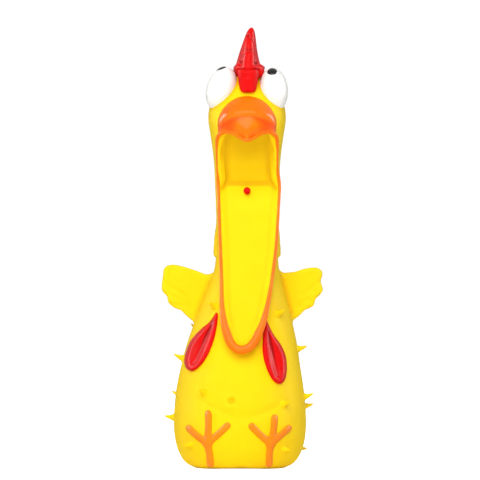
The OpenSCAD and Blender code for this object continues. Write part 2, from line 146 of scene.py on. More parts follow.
def either(a, b, k):
    """Two shapes joined, with a fillet of about k."""
    h = np.clip(0.5 + 0.5 * (b - a) / k, 0, 1)
    return b * (1 - h) + a * h - k * h * (1 - h)


def both(a, b, k):
    """What two shapes share, with rounded edges of about k."""
    return -either(-a, -b, k)


def creased(a, b, deep, wide):
    """Two shapes joined, with a groove where they meet."""
    return np.minimum(a, b) + deep * np.exp(-((a - b) / wide) ** 2)


def rounded(r, *sides):
    """What several shapes share, with its edges rounded to radius r."""
    sides = np.broadcast_arrays(*(side + r for side in sides))
    outside = np.sqrt(sum(np.maximum(side, 0) ** 2 for side in sides))
    return outside + np.minimum(np.max(sides, axis=0), 0) - r


def surface(grid, d, rounds=3):
    """Even quads on a field's zero level: points in millimetres, and faces."""
    inside = d < 0
    shape = np.array(d.shape) - 1
    corners = [tuple(slice(o, o + n) for o, n in zip(c, shape)) for c in np.ndindex(2, 2, 2)]
    count = sum(inside[c].astype(np.int8) for c in corners)
    cells = np.argwhere((count > 0) & (count < 8))
    index = np.full(shape, -1)
    index[tuple(cells.T)] = np.arange(len(cells))
    total, hits = np.zeros((len(cells), 3)), np.zeros((len(cells), 1))
    faces = []
    for axis in range(3):
        u, v = (axis + 1) % 3, (axis + 2) % 3
        unit = np.eye(3, dtype=int)
        for a, b in ((0, 0), (0, 1), (1, 0), (1, 1)):
            p = cells + a * unit[u] + b * unit[v]
            dp, dq = d[tuple(p.T)], d[tuple((p + unit[axis]).T)]
            cross = (dp < 0) != (dq < 0)
            t = np.where(cross, dp / np.where(cross, dp - dq, 1), 0)
            total += np.where(cross[:, None], p + t[:, None] * unit[axis], 0)
            hits += cross[:, None]
        low = np.take(inside, range(shape[axis]), axis)
        high = np.take(inside, range(1, shape[axis] + 1), axis)
        e = np.argwhere(low != high)
        e = e[(e[:, u] > 0) & (e[:, u] < shape[u]) & (e[:, v] > 0) & (e[:, v] < shape[v])]
        ring = [index[tuple((e - a * unit[u] - b * unit[v]).T)] for a, b in ((1, 1), (0, 1), (0, 0), (1, 0))]
        quads = np.stack(ring, axis=1)
        out = inside[tuple(e.T)]
        faces += [quads[out], quads[~out][:, ::-1]]
    points, faces = grid.lo + grid.step * total / hits, np.concatenate(faces)
    for _ in range(rounds):
        points = 0.5 * points + 0.5 * neighbours_mean(points, faces)
        points = settle(grid, d, points)
    return points, faces


def neighbours_mean(points, faces):
    """Each point's neighbours, averaged."""
    a, b = faces.ravel(), np.roll(faces, -1, axis=1).ravel()
    ends, starts = np.concatenate([a, b]), np.concatenate([b, a])
    n = np.maximum(np.bincount(ends, minlength=len(points)), 1)
    return np.stack([np.bincount(ends, points[starts, k], len(points)) / n for k in range(3)], axis=1)


def settle(grid, d, points):
    """Moves points along the field's slope to its zero level."""
    h = 0.5 * grid.step
    rises = [grid.read(d, points + h * e) - grid.read(d, points - h * e) for e in np.eye(3)]
    slope = np.stack(rises, axis=1) / (2 * h)
    step = grid.read(d, points)[:, None] * slope / np.maximum((slope**2).sum(1, keepdims=True), 0.1)
    return points - np.clip(step, -h, h)


def point_normals(points, faces):
    """Smooth outward directions at the points of a mesh of quads or triangles."""
    p = points[faces]
    n = np.cross(p[:, 2] - p[:, 0], p[:, -1] - p[:, 1])
    sums = [np.bincount(faces.ravel(), np.repeat(n[:, k], faces.shape[1]), len(points)) for k in range(3)]
    total = np.stack(sums, axis=1)
    return total / np.maximum(norm(total, axis=1, keepdims=True), 1e-12)


def hollows(points, faces, normals, reach=5):
    """How hollow the surface is at each point, from -1 on a sharp ridge to 1 in a deep crease."""
    spread = points
    for _ in range(reach):
        spread = neighbours_mean(spread, faces)
    depth = ((spread - points) * normals).sum(axis=1)
    for _ in range(2):
        depth = 0.5 * depth + 0.5 * neighbours_mean(depth[:, None] * np.ones(3), faces)[:, 0]
    return np.clip(depth / HOLLOW_FULL, -1, 1)


# ---- outlines seen from the front
def nearest(a, b, u, v):
    """Distance from each (u, v) to the line a to b, and the share of the way along it where that is."""
    d = b - a
    t = np.clip(((u - a[0]) * d[0] + (v - a[1]) * d[1]) / max(d[0] ** 2 + d[1] ** 2, 1e-9), 0, 1)
    return np.hypot(u - a[0] - t * d[0], v - a[1] - t * d[1]), t


def stroke_distance(points, u, v):
    """Distance from each (u, v) to a line through some points."""
    points = np.array(points, float)
    best = None
    for a, b in zip(points[:-1], points[1:]):
        away, _ = nearest(a, b, u, v)
        best = away if best is None else np.minimum(best, away)
    return best


def outline_distance(points, u, v):
    """Distance from each (u, v) to a closed outline, negative inside."""
    best, crossings = None, np.zeros(np.broadcast(u, v).shape, int)
    for a, b in zip(points, np.roll(points, -1, axis=0)):
        away, _ = nearest(a, b, u, v)
        best = away if best is None else np.minimum(best, away)
        if a[1] != b[1]:
            spans = (a[1] > v) != (b[1] > v)
            crossings += spans & (u < a[0] + (v - a[1]) * (b[0] - a[0]) / (b[1] - a[1]))
    return np.where(crossings % 2 == 1, -best, best)


# ---- the chicken's own curves, in millimetres
# Sections of the figure: height, half width, depth in front, depth behind, squareness
FIGURE = [
    (0, 30, 28, 29, 2), (3, 36, 34.5, 34.5, 2), (8, 40.2, 39, 38, 2), (16, 43.4, 42, 40.5, 2),
    (28, 45, 43.6, 42, 2), (42, 44.5, 43, 41.3, 2), (56, 43, 40.5, 39, 2), (72, 40, 36.6, 35.5, 2),
    (86, 37, 33.8, 32, 2.05), (100, 33, 31.2, 28.8, 2.1), (114, 28.4, 28.2, 26, 2.2),
    (126, 24.3, 24.8, 24.2, 2.3), (138, 21.6, 21.6, 23.4, 2.5), (152, 21, 18.6, 22.8, 2.6),
    (170, 21, 14.8, 22, 2.8), (184, 21.4, 11.6, 21.8, 3), (193, 21.8, 14.5, 22, 3.2),
    (205, 22.3, 21.5, 23, 3.4), (216, 23.4, 28, 24.6, 3.4), (227, 25, 32, 26.3, 3.2),
    (237, 26.4, 33, 27.5, 2.8), (245, 25.6, 29, 27.3, 2.5), (254, 22, 23.5, 25, 2.3),
    (262, 16.5, 17.5, 20, 2.2), (268, 10.5, 11.5, 13.5, 2.1), (271.5, 4, 4.5, 5.5, 2)]
# The figure's middle moves over from the base's middle to the head's between these heights
LEAN_FROM, LEAN_TO = 50, 150
# The lips, from the chin up the jaw and the cheeks: height, half width, how far in front, radius
LIPS = [(81.2, 0, 41.6, 2.9), (82.6, 4.4, 41.3, 2.9), (86.4, 8.0, 40.2, 2.9), (92.6, 10.8, 38.4, 2.75),
        (100.5, 13.4, 35.9, 2.2), (113, 15.6, 32.3, 1.5), (130, 17.2, 27.9, 1.15), (150, 18.8, 23.2, 1.05),
        (170, 19.9, 18.8, 1.0), (184, 20.5, 15.0, 1.0), (191, 20.8, 12.9, 1.1), (196.5, 20.6, 12.6, 1.1),
        (204, 20.1, 14.8, 1.05), (211, 20.1, 18.6, 1.1), (218, 20.3, 22.8, 1.15), (223.5, 20.2, 26.4, 1.2)]
LIP_LOW = LIPS[0][0]
LIP_SUNK = 0.6
# The bead on the beak's lower edge: distance from the middle, how far in front, height, radius
BEAK_BEAD = [(18.6, 29.8, 226.8, 1.25), (14.2, 33.0, 228.2, 1.15), (9.4, 36.2, 227.2, 1.1),
             (4.4, 39.2, 224.4, 1.1), (1.5, 40.3, 222.9, 1.1)]
# How far the mouth lies to the right of the figure's middle, at some heights
MOUTH_ASIDE = [(113, 0), (146, 0.65), (168, 1.05), (193, 1.2), (204, 0.3), (218, 0)]
# Heights: where the lips and the skin pass from the neck to the head, the throat's fold, the cheeks' top
MOUTH_SPLIT, CREASE, CHEEK_TOP = 170, 193, 217
# The mouth's floor: height and distance in front, up the jaw to the fold, and on along the palate
JAW_FLOOR = [(81, 40.0), (86, 38.4), (110, 31.8), (138, 25.0), (170, 18.0), (182, 14.4), (188, 11.4),
             (193, 8.2), (198, 4.8)]
PALATE = [(188, 6.2), (193, 8.2), (199, 10.2), (205, 12.3), (211, 14.8), (217.5, 18.4), (223, 23),
          (227, 28), (230, 34.5), (231, 38)]
# The half width of the jaw's floor inside the lips, at some heights
JAW_IN = [(82, 0.4), (84.4, 2.4), (88.4, 5.6), (92.5, 8.2), (96.6, 10.4), (104.7, 12.7), (113, 14.0),
          (129, 15.8), (145.5, 17.1), (162, 18.0), (174, 18.7), (191, 19.4)]


def lean(z):
    """How far to the right the figure's middle lies."""
    return HEAD_X * smooth((np.asarray(z, float) - LEAN_FROM) / (LEAN_TO - LEAN_FROM))


def mouth_mid(z):
    return lean(z) + through(MOUTH_ASIDE, z)


def figure_distance(g):
    """Distance to the plain figure, without jaw, wings or anything moulded on it."""
    half, front, back, square = through(FIGURE, g.z)
    depth = np.where(g.y < 0, front, back)
    rho = ((np.abs(g.x - lean(g.z)) / half) ** square + (np.abs(g.y) / depth) ** square) ** (1 / square)
    return g.even((rho - 1) * half)


def mouth_floor(z, x):
    """How far in front the mouth's floor lies: a shallow trough that fades at both ends."""
    inside = smooth((through(JAW_IN, z) - x) / 4.2)
    flat = np.maximum(through(JAW_FLOOR, z), through(PALATE, z))
    return flat - 1.5 * inside * smooth((z - 84) / 20) * smooth((210 - z) / 14)


def jaw_distance(g):
    """The lower jaw and the cheeks' edges: what lies behind the mouth's floor and the lips."""
    x = np.abs(g.x - mouth_mid(g.z))
    half = through([r[:2] for r in LIPS], np.maximum(g.z, LIP_LOW)) - np.maximum(LIP_LOW - g.z, 0)
    side = g.even(x - half - 0.5)
    rim = through([(r[0], r[2]) for r in LIPS], g.z) - LIP_SUNK - 0.2
    front = -g.even(np.maximum(mouth_floor(g.z, x), rim) + g.y)
    return both(both(side, front, 1.2), np.maximum(g.y, g.z - CHEEK_TOP), 0.5)


def mouth_distance(g):
    """The open mouth: the space in front of its floor, between the lips."""
    x = np.abs(g.x - mouth_mid(g.z))
    ahead = g.even(g.y + mouth_floor(g.z, x))
    narrow = through(JAW_IN, g.z)
    palate = 15.4 - 0.035 * (g.z - 195) + 3.8 * smooth(-(g.y + through(PALATE, g.z)) / 5)
    share = smooth((g.z - 184) / 14)
    wall = g.even(x - (narrow * (1 - share) + palate * share))
    return both(both(ahead, wall, 1.1), JAW_IN[0][0] - g.z, 1)


WING_Y = float(np.mean([b[1] for b in node_box("wing_left")]))
# Each wing's root, as a line from its top to its bottom; then its outline, all round from the root's top
WING_ROOTS = {"left": ((-24.9, 120), (-32.2, 101.5)), "right": ((32.8, 120), (37, 101.5))}
WINGS = {
    "left": [(-18, 128.5), (-24, 131.8), (-34.2, 135.6), (-44, 138.1), (-49, 137.6), (-51.8, 135.3),
             (-52.5, 130.7), (-53.3, 124.6), (-52.8, 120), (-49.6, 116.4), (-48.9, 112.6), (-44.9, 108.9),
             (-40.4, 107.2), (-37.4, 104.2), (-31.2, 99.6), (-20, 96)],
    "right": [(24, 130.4), (31, 132.6), (37.5, 133.4), (44.5, 135.6), (52, 136.2), (55.7, 133.8),
              (56.1, 130.7), (55, 126.6), (56.5, 121.2), (54.4, 117.6), (51.6, 114.8), (50.2, 110.6),
              (47.6, 108.6), (44.1, 107.2), (40.6, 103.6), (36.4, 100.8), (26, 97)]}
# Grooves between the wing feathers: from each notch of the outline towards the shoulder
WING_GROOVES = {"left": [(-52.6, 128), (-50.2, 118), (-46.8, 110.6)],
                "right": [(55.4, 128.6), (53, 116), (49, 109.6)]}


def root_side(side, x, z):
    """How far outside the wing's root line a point lies."""
    (ax, az), (bx, bz) = WING_ROOTS[side]
    out = -1 if side == "left" else 1
    dx, dz = bx - ax, bz - az
    return out * ((x - ax) * -dz + (z - az) * dx) / math.hypot(dx, dz)


def wing_distance(g, side):
    """A wing: thinner towards its tip, with grooves between its feathers."""
    u, v = g.front()
    edge = outline_distance(spline(WINGS[side], 6, closed=True), u, v)
    reach = np.clip(root_side(side, u, v) / 26, 0, 1)
    half = 3.5 - 1.2 * reach
    shoulder = np.array(WING_ROOTS[side]).mean(axis=0)
    for notch in np.array(WING_GROOVES[side]):
        line = (notch, notch + 0.62 * (shoulder - notch))
        half = half - 0.55 * np.exp(-(stroke_distance(line, u, v) / 1.1) ** 2)
    swell = 0.35 * np.sin(reach * math.pi)
    return rounded(1.7, edge[:, None, :], np.abs(g.y - WING_Y) - (half + swell)[:, None, :])


# The tail's outline from the side, and the grooves between its feathers
TAIL = [(26, 70), (33, 80), (44, 96), (48.6, 100.6), (51.6, 99.6), (51.4, 94), (53.8, 93), (55, 89),
        (52.4, 84.8), (53.6, 81.6), (52.8, 77), (48, 70), (38, 62.6), (28, 60)]
TAIL_GROOVES = [((52.2, 95.6), (36, 78)), ((53.6, 86), (38, 74)), ((53, 79), (40, 69))]


def tail_distance(g):
    """The short fan at the back, thinner towards its edge."""
    u, v = g.y[0], g.z[0]
    edge = outline_distance(spline(TAIL, 6, closed=True), u, v)
    half = 4.3 - 1.6 * np.clip((u - 36) / 20, 0, 1)
    for line in TAIL_GROOVES:
        half = half - 0.6 * np.exp(-(stroke_distance(line, u, v) / 1.2) ** 2)
    return rounded(1.8, edge[None], np.abs(g.x - lean(80)) - half[None])


EYES = {"left": dict(at=(-17.5, -14.2, 257.9), turn=20), "right": dict(at=(17.9, -14.2, 256.9), turn=-4)}
EYE_R = (9.9, 11.2, 15.2)


def eye_frame(side):
    """The eye's middle, and its axes as the columns of a matrix: its long axis leans out at the bottom."""
    a = math.radians(EYES[side]["turn"])
    axes = np.array([[math.cos(a), 0, math.sin(a)], [0, 1, 0], [-math.sin(a), 0, math.cos(a)]])
    return np.array(EYES[side]["at"]) + (HEAD_X, 0, 0), axes


def ellipsoid(g, middle, radii, axes=np.eye(3)):
    """Distance to an ellipsoid, near enough."""
    d = (g.x - middle[0], g.y - middle[1], g.z - middle[2])
    q = [sum(axes[i, k] * d[i] for i in range(3)) / radii[k] for k in range(3)]
    k0 = np.sqrt(sum(v * v for v in q))
    k1 = np.sqrt(sum((v / r) ** 2 for v, r in zip(q, radii)))
    return k0 * (k0 - 1) / np.maximum(k1, 1e-6)


def cone(g, a, b, ra, rb, stretch=1.0):
    """Distance to a rounded cone between two points, stretched along Y."""
    a, b = np.array(a, float), np.array(b, float)
    d = b - a
    y = a[1] + (g.y - a[1]) / stretch
    t = np.clip(((g.x - a[0]) * d[0] + (y - a[1]) * d[1] + (g.z - a[2]) * d[2]) / (d @ d), 0, 1)
    away = np.sqrt((g.x - a[0] - t * d[0]) ** 2 + (y - a[1] - t * d[1]) ** 2 + (g.z - a[2] - t * d[2]) ** 2)
    return away - (ra + t * (rb - ra))


# The navel's place, and the crease over the thighs
NAVEL = (-5.9, 46.9)
CREASE_V = [(-31, 48.6), (-24, 46), (-15.3, 41.8), (-6, 37.6), (1.7, 35.8), (11, 37.6), (20.7, 41.4),
            (29, 45)]


def belly_relief(g):
    """How far the belly's front stands out or in: the crease over the thighs, the thighs and the navel."""
    u, v = g.front()
    along = stroke_distance(spline(CREASE_V, 5), u, v)
    fade = smooth((34 - np.abs(u)) / 14)
    relief = -0.85 * np.exp(-(along / 2.6) ** 2) * fade
    for x in (-19.5, 19):
        relief = relief + 0.5 * np.exp(-((u - x) / 13) ** 2 - ((v - 27) / 11) ** 2)
    relief = relief - 0.9 * np.exp(-(u / 4.5) ** 2) * smooth((30 - v) / 14)
    ring = np.hypot((u - NAVEL[0]) / 1.15, v - NAVEL[1])
    relief = relief + 0.6 * np.exp(-((ring - 3.9) / 1.4) ** 2) - 1.5 * np.exp(-(ring / 2.5) ** 2)
    return relief[:, None, :] * smooth((-12 - g.y) / 12)


# The hole in the base: a recess for the squeaker cup's flange, and the bore above it
BORE_R, RECESS_R, RECESS_TOP, BORE_TOP = 12.52, 15.1, 1.25, 6.5


def skin_distance(g):
    """The whole yellow skin."""
    d = figure_distance(g)
    d = d - belly_relief(g)
    for side in EYES:
        middle, axes = eye_frame(side)
        d = either(d, ellipsoid(g, middle, np.array(EYE_R) - 0.5, axes), 2.6)
    d = either(d, jaw_distance(g), 1.8)
    d = both(d, -mouth_distance(g), 0.9)
    for side in WINGS:
        d = either(d, wing_distance(g, side), 3.4)
    d = either(d, tail_distance(g), 3)
    arch = 1.1 * np.exp(-(g.x / 11) ** 2) * smooth((-14 - g.y) / 12)
    d = both(d, arch - g.z, 0.8)
    d = both(d, g.z - FIGURE[-1][0], 3)
    r = np.hypot(g.x, g.y)
    for radius, top in ((RECESS_R, RECESS_TOP), (BORE_R, BORE_TOP)):
        d = np.maximum(d, -np.maximum(r - radius, g.z - top))
    return d


# ---- meshes
def shell_of(points, normals, hollow, faces, wall):
    """A closed wall under a stretch of surface: the surface, its inside wall and the rim between them."""
    used, local = np.unique(faces, return_inverse=True)
    local = local.reshape(faces.shape)
    n = len(used)
    outer, inner = points[used], points[used] - wall * normals[used]
    a, b = local.ravel(), np.roll(local, -1, axis=1).ravel()
    there = set(zip(a.tolist(), b.tolist()))
    rim = np.array([(q, p, p + n, q + n) for p, q in there if (q, p) not in there], int).reshape(-1, 4)
    rim = rim[np.lexsort(rim.T)]
    directions = np.concatenate([normals[used], -normals[used]])
    mesh = np.concatenate([outer, inner]), np.concatenate([local, local[:, ::-1] + n, rim])
    return *mesh, directions, np.concatenate([hollow[used]] * 2)


def make(name, points, faces, finish, replaced=(), normals=None, hollow=None):
    """A smooth-shaded piece from points in millimetres, in the slot that its finish is named after."""
    mesh = bpy.data.meshes.new(name)
    mesh.from_pydata((points * MM).tolist(), [], sum([f.tolist() for f in faces], []))
    mesh.polygons.foreach_set("use_smooth", [True] * len(mesh.polygons))
    if normals is not None:
        mesh.normals_split_custom_set_from_vertices(normals.tolist())
    # The hollow attribute steers the finish's painted shade in creases and painted highlight on ridges.
    if hollow is not None:
        mesh.attributes.new("hollow", "FLOAT", "POINT").data.foreach_set("value", hollow.astype(np.float32))
    mesh.materials.append(finish)
    piece = bpy.data.objects.new(name, mesh)
    bpy.context.scene.collection.objects.link(piece)
    if replaced:
        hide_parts(*replaced)
    return piece


def neck_bend(piece):
    """Bakes the piece's placement into its mesh."""
    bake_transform(piece)


def head_bend(piece):
    """Bakes the piece's placement into its mesh."""
    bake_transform(piece)


def belly_bend(piece, proud=0.0):
    """Bakes the piece's placement into its mesh. The proud argument is not used."""
    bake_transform(piece)


def wing_bend(piece):
    """Bakes the piece's placement into its mesh."""
    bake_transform(piece)


# ---- materials
def shade(r, g, b):
    """A colour given as screen values from 0 to 255."""
    linear = [c / 255 / 12.92 if c <= 10 else ((c / 255 + 0.055) / 1.055) ** 2.4 for c in (r, g, b)]
    return (*linear, 1)


def ranged(tree, value, low, high, to_low, to_high, kind="SMOOTHSTEP"):
    """A node's value moved from one range to another."""
    n = tree.nodes.new("ShaderNodeMapRange")
    n.interpolation_type = kind
    for key, number in zip(("From Min", "From Max", "To Min", "To Max"), (low, high, to_low, to_high)):
        n.inputs[key].default_value = number
    tree.links.new(value, n.inputs["Value"])
    return n.outputs["Result"]


def mixed(tree, amount, a, b, kind="RGBA"):
    """a where the amount is 0 and b where it is 1, mixed as colours or as plain numbers."""
    n = tree.nodes.new("ShaderNodeMix")
    n.data_type = kind
    tree.links.new(amount, n.inputs[0])
    first, result = (6, 2) if kind == "RGBA" else (2, 0)
    for key, value in ((first, a), (first + 1, b)):
        if isinstance(value, bpy.types.NodeSocket):
            tree.links.new(value, n.inputs[key])
        else:
            n.inputs[key].default_value = value
    return n.outputs[result]


def finish(name, colour, worn, deep=None, rough=0.36, coat=0.1, gloss=0.3, grain=0.25, pores=1.0, soft=0.0,
           metal=0.0, blotch=0.35):
    """Moulded, painted latex or plastic: blotches, grain and tiny pores. Creases take the deep colour as
    painted shade, and ridges a paler one as painted highlight.
    """
    material = bpy.data.materials.new(name)
    material.use_nodes = True
    tree = material.node_tree
    nodes, links = tree.nodes, tree.links
    shader = nodes["Principled BSDF"]
    place = nodes.new("ShaderNodeTexCoord").outputs["Object"]

    def noise(scale, detail, roughness=0.5):
        n = nodes.new("ShaderNodeTexNoise")
        n.inputs["Scale"].default_value = scale
        n.inputs["Detail"].default_value = detail
        n.inputs["Roughness"].default_value = roughness
        links.new(place, n.inputs["Vector"])
        return n.outputs["Fac"]

    slow = ranged(tree, noise(38, 3), 0.35, 0.7, 0, blotch)
    fine = ranged(tree, noise(420, 4, 0.6), 0.45, 0.75, 0, grain)
    paler = tuple(min(1, c * 1.05 + 0.012) for c in colour[:3]) + (1,)
    colours = mixed(tree, fine, mixed(tree, slow, colour, worn), paler)
    # Painted shade: the hollow attribute mixes the deep colour into creases. Painted highlight: it mixes the
    # paler colour onto ridges.
    if deep:
        hollow = nodes.new("ShaderNodeAttribute")
        hollow.attribute_name = "hollow"
        colours = mixed(tree, ranged(tree, hollow.outputs["Fac"], 0.1, 1, 0, 0.75), colours, deep)
        colours = mixed(tree, ranged(tree, hollow.outputs["Fac"], -0.15, -1, 0, 0.35), colours, paler)
    links.new(colours, shader.inputs["Base Color"])
    links.new(ranged(tree, noise(95, 4), 0.3, 0.75, rough - 0.05, rough + 0.09), shader.inputs["Roughness"])
    even = {"Coat Weight": coat, "Coat Roughness": 0.18, "Specular IOR Level": gloss, "Metallic": metal,
            "IOR": 1.5, "Subsurface Weight": soft, "Subsurface Radius": (1.0, 0.6, 0.25),
            "Subsurface Scale": 0.0025}
    for key, value in even.items():
        shader.inputs[key].default_value = value
    pore = nodes.new("ShaderNodeTexVoronoi")
    pore.inputs["Scale"].default_value = 900
    links.new(place, pore.inputs["Vector"])
    dots = ranged(tree, pore.outputs["Distance"], 0.05, 0.4, 0, 1)
    waves = ranged(tree, noise(150, 5, 0.55), 0.3, 0.7, 0, 1)
    height = nodes.new("ShaderNodeMath")
    height.operation = "MULTIPLY_ADD"
    links.new(dots, height.inputs[0])
    height.inputs[1].default_value = 0.35 * pores
    links.new(waves, height.inputs[2])
    bump = nodes.new("ShaderNodeBump")
    bump.inputs["Strength"].default_value = 0.22
    bump.inputs["Distance"].default_value = 0.00022
    links.new(height.outputs[0], bump.inputs["Height"])
    links.new(bump.outputs["Normal"], shader.inputs["Normal"])
    return material


# The third colour of a finish is its painted shade, which creases take. The mouth is the yellow latex again
# with a darker painted shade, for the palate under the beak.
YELLOW = finish("latex_yellow", shade(252, 213, 14), shade(250, 204, 12), shade(242, 181, 6),
                rough=0.6, gloss=0.05, coat=0.0, soft=0.1)
MOUTH = finish("latex_mouth", shade(252, 213, 14), shade(249, 204, 12), shade(222, 170, 9),
               rough=0.6, gloss=0.05, coat=0.0, soft=0.1)
ORANGE = finish("latex_orange", shade(252, 122, 3), shade(250, 102, 2), shade(240, 62, 2),
                rough=0.3, coat=0.05, gloss=0.13, blotch=0.7)
FOOT = finish("foot_orange", shade(250, 142, 8), shade(246, 122, 5), shade(226, 84, 2),
              rough=0.4, coat=0.03, gloss=0.13, blotch=0.6)
RED = finish("latex_red", shade(222, 12, 12), shade(206, 7, 9), shade(140, 2, 5),
             rough=0.4, coat=0.03, gloss=0.06, blotch=0.5)
WHITE = finish("eye_white", shade(244, 243, 238), shade(240, 236, 224), rough=0.3, coat=0.25, gloss=0.4,
               grain=0.15)
BLACK = finish("pupil_black", shade(16, 15, 18), shade(26, 24, 26), rough=0.22, coat=0.4)
PLASTIC = finish("squeaker_plastic", shade(236, 236, 230), shade(222, 220, 208), rough=0.4, coat=0.1)
BRASS = finish("reed_brass", shade(206, 168, 90), shade(176, 136, 66), rough=0.28, coat=0, metal=1.0,
               pores=0.2)


# ---- the yellow skin
SKIN_WALL, THIN_WALL = 1.8, 1.0
# Heights between which the skin is cut into pieces
JAW_LOW, TORSO_TOP, PALATE_TOP = 74, 98, 232


def build_skin():
    """Cuts the one moulded skin into the stretches that the frame's bodies carry."""
    lo, hi = node_box("torso_skin", "wing_left", "wing_right", "tail", "upper_beak", "chin_lip")
    top = FIGURE[-1][0]
    g = Grid((lo[0] - 3, lo[1] - 4, -2.5), (hi[0] + 3, hi[1] + 3, top + 3), 1.0)
    d = skin_distance(g)
    points, faces = surface(g, d)
    normals = point_normals(points, faces)
    hollow = hollows(points, faces, normals)
    middle = points[faces].mean(axis=1)
    x, y, z = middle.T
    figure = g.read(figure_distance(g), middle)
    rx = x - lean(z)
    bore = (np.hypot(x, y) < BORE_R - 0.6) & (z < 20) & (z > 2)
    rest = ~bore
    parts = {}

    def take(name, chosen):
        nonlocal rest
        parts[name] = faces[rest & chosen]
        rest = rest & ~chosen

    for side in WINGS:
        take("wing_" + side, (root_side(side, x, z) > 0.4) & (z > 95) & (z < 142) & (np.abs(y - WING_Y) < 9))
    take("tail", (y > 20) & (figure > 1.2) & (np.abs(rx) < 9) & (z > 56) & (z < 104))
    mouth = np.abs(g.read(mouth_distance(g), middle)) < 0.7
    take("palate", mouth & (z > CREASE) & (figure < 0.2) & (y < 0) & (z < PALATE_TOP))
    jaw = mouth | (np.abs(g.read(jaw_distance(g), middle)) < 0.55)
    jaw |= (z > MOUTH_SPLIT) & (np.abs(rx) < 19) & (y < -5)
    jaw &= (y < 0) & (z > JAW_LOW) & (z <= CREASE)
    take("lower_jaw", jaw & (z <= MOUTH_SPLIT))
    take("throat", jaw & (z > MOUTH_SPLIT))
    take("skin_torso", z < TORSO_TOP)
    take("skin_neck", z < MOUTH_SPLIT)
    take("skin_head", z > 0)
    plan = {
        "skin_torso": (YELLOW, ("torso_skin", "belly_skin", "navel"), belly_bend),
        "skin_neck": (YELLOW, ("neck_skin",), neck_bend),
        "skin_head": (YELLOW, ("head_skin",), head_bend),
        "palate": (MOUTH, ("mouth_lining",), head_bend),
        "lower_jaw": (MOUTH, ("jaw", "jaw_chin"), neck_bend),
        "throat": (MOUTH, (), head_bend),
        "wing_left": (YELLOW, ("wing_left",), lambda p: wing_bend(p)),
        "wing_right": (YELLOW, ("wing_right",), lambda p: wing_bend(p)),
        "tail": (YELLOW, ("tail",), lambda p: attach(p, "torso"))}
    for name, (finish_of, replaced, bend) in plan.items():
        wall = THIN_WALL if name in ("wing_left", "wing_right", "tail") else SKIN_WALL
        # Painted shade over the whole palate, deeper higher up under the beak.
        shadow = 0.45 + 0.2 * smooth((points[:, 2] - 196) / 24) if name == "palate" else 0
        outer, sides, directions, shade_of = shell_of(points, normals, hollow + shadow, parts[name], wall)
        title = name if name.startswith("skin") else "latex_" + name
        bend(make(title, outer, [sides], finish_of, replaced, directions, shade_of))


build_skin()


# ---- pieces moulded from their own grids
def fine_step(step):
    return step


def grid_round(node, step, below=(3, 3, 3), above=(3, 3, 3)):
    """A grid round a CAD node, reaching past it by so much on its low and its high sides."""
    lo, hi = node_box(node)
    return Grid(lo - below, hi + above, fine_step(step))


def moulded(name, g, d, finish_of, replaced, added_shade=None):
    """A closed piece on a field's zero level. Painted shade is added where the given function of the points
    says so.
    """
    points, faces = surface(g, d)
    normals = point_normals(points, faces)
    hollow = hollows(points, faces, normals, reach=6)
    if added_shade:
        hollow = hollow + added_shade(points)
    return make(name, points, [faces], finish_of, replaced, normals, hollow)


def half_round(points, g, squat, over):
    """A ridge along a line seen from the front: its half-round section stands on the distance field over."""
    best = None
    for a, b in zip(points[:-1], points[1:]):
        away, t = nearest(a, b, *g.front())
        radius = a[2] + t * (b[2] - a[2])
        ridge = np.sqrt(away[:, None, :] ** 2 + (squat * over) ** 2) - radius[:, None, :]
        best = ridge if best is None else either(best, ridge, 0.9)
    return best


# Feet: the hub, the three toe tips and the shin's end
FEET = {"left": [(-22.2, 18.0), (-34.8, 28.0), (-21.5, 38.4), (-8.4, 30.2), (-20.2, 3.4)],
        "right": [(20.9, 17.8), (7.8, 29.8), (23.4, 35.4), (33, 28), (19.8, 3.4)]}


def build_foot(side):
    """An orange three-toed foot standing out of the belly, with a knuckle at the hub."""
    hub, *ends = FEET[side]
    lo, hi = node_box("foot_" + side)
    g = Grid((lo[0] - 3, lo[1] - 3, -1), (hi[0] + 3, hi[1] + 4, hi[2] + 3), fine_step(0.5))
    skin = g.even(figure_distance(g) - belly_relief(g))
    d = None
    for end in ends:
        middle = tuple((np.array(hub) + end) / 2 + np.array((0.5, 0.2)) * (1 if end[0] > hub[0] else -1))
        line = spline([(*hub, 2.3), (*middle, 2.05), (*end, 2.15)], 5)
        toe = half_round(line, g, 1.35, skin)
        d = toe if d is None else either(d, toe, 1.4)
    knuckle = np.sqrt((g.x - hub[0]) ** 2 + (g.z - hub[1]) ** 2 + (1.6 * skin) ** 2) - 2.9
    d = either(d, knuckle, 1.2)
    d = np.maximum(np.maximum(d, -0.9 - skin), 0.3 - g.z)
    foot = moulded("painted_foot_" + side, g, d, FOOT, ("foot_" + side,))
    belly_bend(foot, proud=0.0016)


# The wattles' outlines
WATTLES = {
    "left": [(-16.4, 106), (-14.9, 104), (-15.8, 96), (-17.5, 88), (-21, 79), (-26, 71), (-32, 66.4),
             (-36.6, 68.4), (-37.8, 75), (-34, 86), (-27, 94.4), (-20.5, 100)],
    "right": [(17.6, 101), (19.4, 98), (23, 91), (28, 84), (31.2, 76), (31.8, 67), (30.2, 60),
              (26.4, 57.8), (21.7, 61), (17.4, 70), (15.2, 80), (15.6, 92)]}


